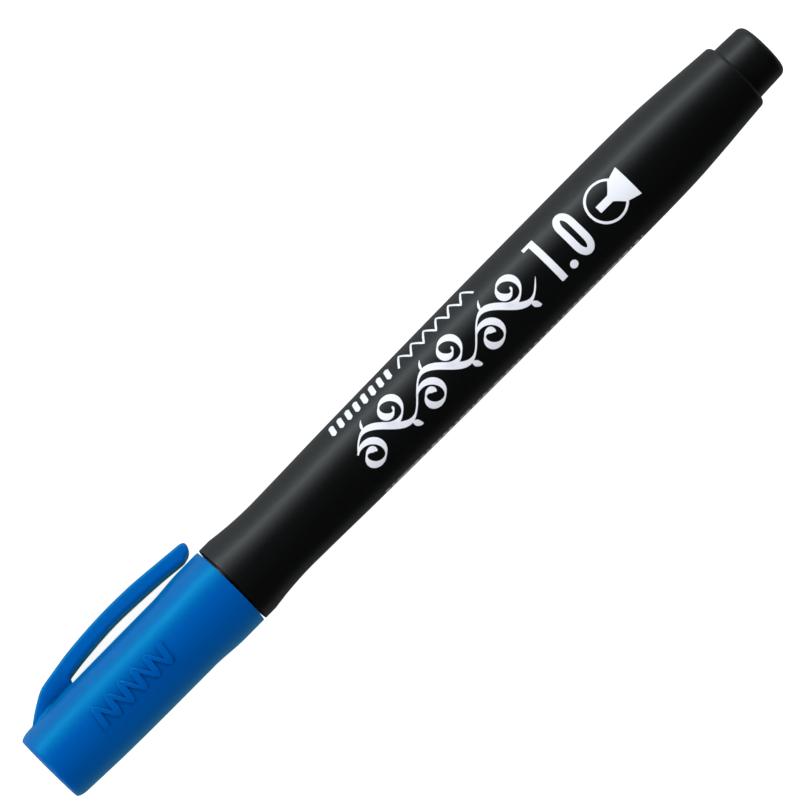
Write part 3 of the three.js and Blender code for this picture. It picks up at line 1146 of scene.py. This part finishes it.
def fine_print(name, surface):
    """Three rows of dashes that stand for the small print."""
    return [
        grow(f"{name}_{i + 1}", fine_rows, {
            "Surface": surface,
            "Material": print_white,
            "Count": 46,
            "Start": (59.9, arc_length, 0),
            "Pitch": 1.1,
            "Height": 0.35,
            "Film Height": INK_FILM,
            "Seed": 11 + i,
        })
        for i, arc_length in enumerate((-8.6, -9.7, -10.8))
    ]


# -------------------- assemble


def settle(piece, body, slot=None, *replaced):
    """A finished piece takes its body, and the CAD nodes it stands for are hidden. The slot is not used."""
    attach(piece, body)
    if replaced:
        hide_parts(*replaced)


cap = cap_tube()
barrel = barrel_body()
relief = grow("cap_relief", pen_strokes, {
    "Surface": cap,
    "Material": cap_blue,
    "Nib Width": 0.9,
    "Hairline": 0.3,
    "Nib Angle": math.radians(-25),
    "Film Height": 0.25,
    "Film Sink": 0.03,
    "Edge Round": 0.2,
}, line_mesh("cap_relief_lines", relief_strokes()))

settle(cap, "cap", "cap_plastic", "cap_shell")
settle(relief, "cap", "cap_plastic")
settle(sealing_liner(), "cap", "liner_plastic", "inner_cap")
for name, strokes, pen in (
    ("scroll_print", scroll_strokes(), BROAD_PEN),
    ("numeral_print", numeral_strokes(), NUMERAL_PEN),
    ("point_print", dot_strokes(), PLAIN_PEN),
    ("nib_sign_print", nib_sign_strokes(), PLAIN_PEN),
    ("border_print", border_strokes(), PLAIN_PEN),
):
    settle(printed(name, strokes, pen, barrel), "barrel")
for row in fine_print("fine_print", barrel):
    settle(row, "barrel")
settle(barrel, "barrel", "barrel_plastic", "barrel")
settle(tail_nub(), "barrel", "barrel_plastic", "tail_plug")
settle(writing_section(), "barrel", "section_plastic", "front_section")
settle(nib_holder(), "barrel", "liner_plastic", "nib_sleeve")
settle(chisel_nib(), "barrel", "nib_fibre", "nib")
settle(ink_reservoir(), "barrel", "reservoir_fibre", "reservoir_core")
settle(reservoir_wrap(), "barrel", "film", "reservoir_film")

clip = clip_arm()


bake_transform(clip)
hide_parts("clip")

# -------------------- floor, light and camera


def pale_floor():
    """A pale sheet under the pen. Its half away from the key lights is painted darker, a painted shade, and
    much darker still in reflections, a painted dark reflection, which keeps that side of the pen dark."""
    mesh = bpy.data.meshes.new("floor")
    side = 3.0
    corners = [(-side, -side, 0), (side, -side, 0), (side, side, 0), (-side, side, 0)]
    mesh.from_pydata(corners, [], [(0, 1, 2, 3)])
    material, tree, shader, coordinates = begin_material(
        "floor_paper", Roughness=1.0, Specular_IOR_Level=0.0, Emission_Color=(1, 1, 1, 1),
    )
    ray = tree.nodes.new("ShaderNodeLightPath").outputs
    glow = calculate(tree, "MULTIPLY", ray["Is Camera Ray"], 0.85)
    tree.links.new(glow, shader.inputs["Emission Strength"])
    across = separate(tree, coordinates)["Y"]
    # Painted shade: the floor's colour goes from darker on the side away from the key lights to brighter on
    # their side
    painted_light_mask = ramp(tree, across, -0.01, 0.035, interpolation_type="SMOOTHSTEP")
    painted_shade_bounce = mix_colors(tree, painted_light_mask, (0.6, 0.6, 0.6, 1), (0.9, 0.9, 0.9, 1))
    # Painted reflection: what the pen reflects of the floor is dark grey on the far side and bright on the
    # key side
    painted_reflection = mix_colors(tree, painted_light_mask, (0.18, 0.185, 0.19, 1), (0.92, 0.97, 1.0, 1))
    tree.links.new(mix_colors(tree, ray["Is Glossy Ray"], painted_shade_bounce, painted_reflection), shader.inputs["Base Color"])
    mesh.materials.append(material)
    new_object("floor", mesh)


def soft_light(name, place, size, power, color=(1, 1, 1), reflected=True):
    """A rectangular soft light that points at the pen, and may be left out of reflections."""
    light = bpy.data.lights.new(name, "AREA")
    light.shape = "RECTANGLE"
    light.size, light.size_y = size
    light.energy = power
    light.color = color
    lamp = new_object(name, light)
    lamp.location = place
    lamp.visible_glossy = reflected
    aim = Vector((0, 0, 0.006))
    lamp.rotation_euler = (aim - Vector(place)).to_track_quat("-Z", "Y").to_euler()


def around_pen(distance, facing, lean=0.0):
    """A place at a distance from the pen's middle: facing turns from straight up to the clip's side, and
    lean turns from there towards the tail."""
    return (
        distance * math.sin(lean),
        distance * math.cos(lean) * math.sin(facing),
        AXIS_Z + distance * math.cos(lean) * math.cos(facing),
    )


def studio():
    world = bpy.data.worlds.new("studio")
    world.use_nodes = True
    background = world.node_tree.nodes["Background"]
    background.inputs["Color"].default_value = (1, 1, 1, 1)
    seen = world.node_tree.nodes.new("ShaderNodeLightPath").outputs["Is Camera Ray"]
    ambient = 0.02
    strength = calculate(world.node_tree, "MULTIPLY_ADD", seen, 1 - ambient, ambient)
    world.node_tree.links.new(strength, background.inputs["Strength"])
    bpy.context.scene.world = world
    key_distance, key_size, key_color = 0.75, (1.4, 0.24), (0.93, 0.98, 1.0)
    for name, facing, power in (("key_low", 87, 4.2), ("key_middle", 68, 1.2), ("key_high", 51, 0.2)):
        place = around_pen(key_distance, math.radians(facing))
        soft_light(name, place, key_size, power, color=key_color)
    fill_distance, fill_size = 1.2, (0.8, 0.8)
    for name, facing, lean, power in (
        ("fill_cap_end", PRINT_FACING, math.radians(-64), 15.0),
        ("fill_tail_end", PRINT_FACING, math.radians(64), 15.0),
        ("fill_far_side", math.radians(-60), 0.0, 0.8),
    ):
        soft_light(name, around_pen(fill_distance, facing, lean), fill_size, power, reflected=False)
    bpy.context.scene.view_settings.view_transform = "Standard"


def set_camera():
    """Looks down on the printed side with the pen running from lower left to upper right."""
    tilt = math.radians(4.2)
    roll = math.radians(45.3)
    distance = 1.5
    view_width = 0.11004
    left, raised = 0.001087, 0.000977     # from the pen's middle to the view's middle
    towards = Vector((
        -math.sin(tilt),
        math.cos(tilt) * math.sin(PRINT_FACING),
        math.cos(tilt) * math.cos(PRINT_FACING),
    ))
    along = (Vector((1, 0, 0)) - towards.x * towards).normalized()
    over = towards.cross(along)
    right = math.cos(roll) * along - math.sin(roll) * over
    up = math.sin(roll) * along + math.cos(roll) * over
    middle = Vector((0, AXIS_Y, AXIS_Z)) + raised * up - left * right
    data = bpy.data.cameras.new("camera")
    data.sensor_width = 36
    data.lens = data.sensor_width * distance / view_width
    data.clip_start, data.clip_end = 0.1, 10
    camera = new_object("camera", data)
    place = Matrix((right, up, towards)).transposed().to_4x4()
    place.translation = middle + distance * towards
    camera.matrix_world = place
    bpy.context.scene.camera = camera


pale_floor()
studio()
set_camera()
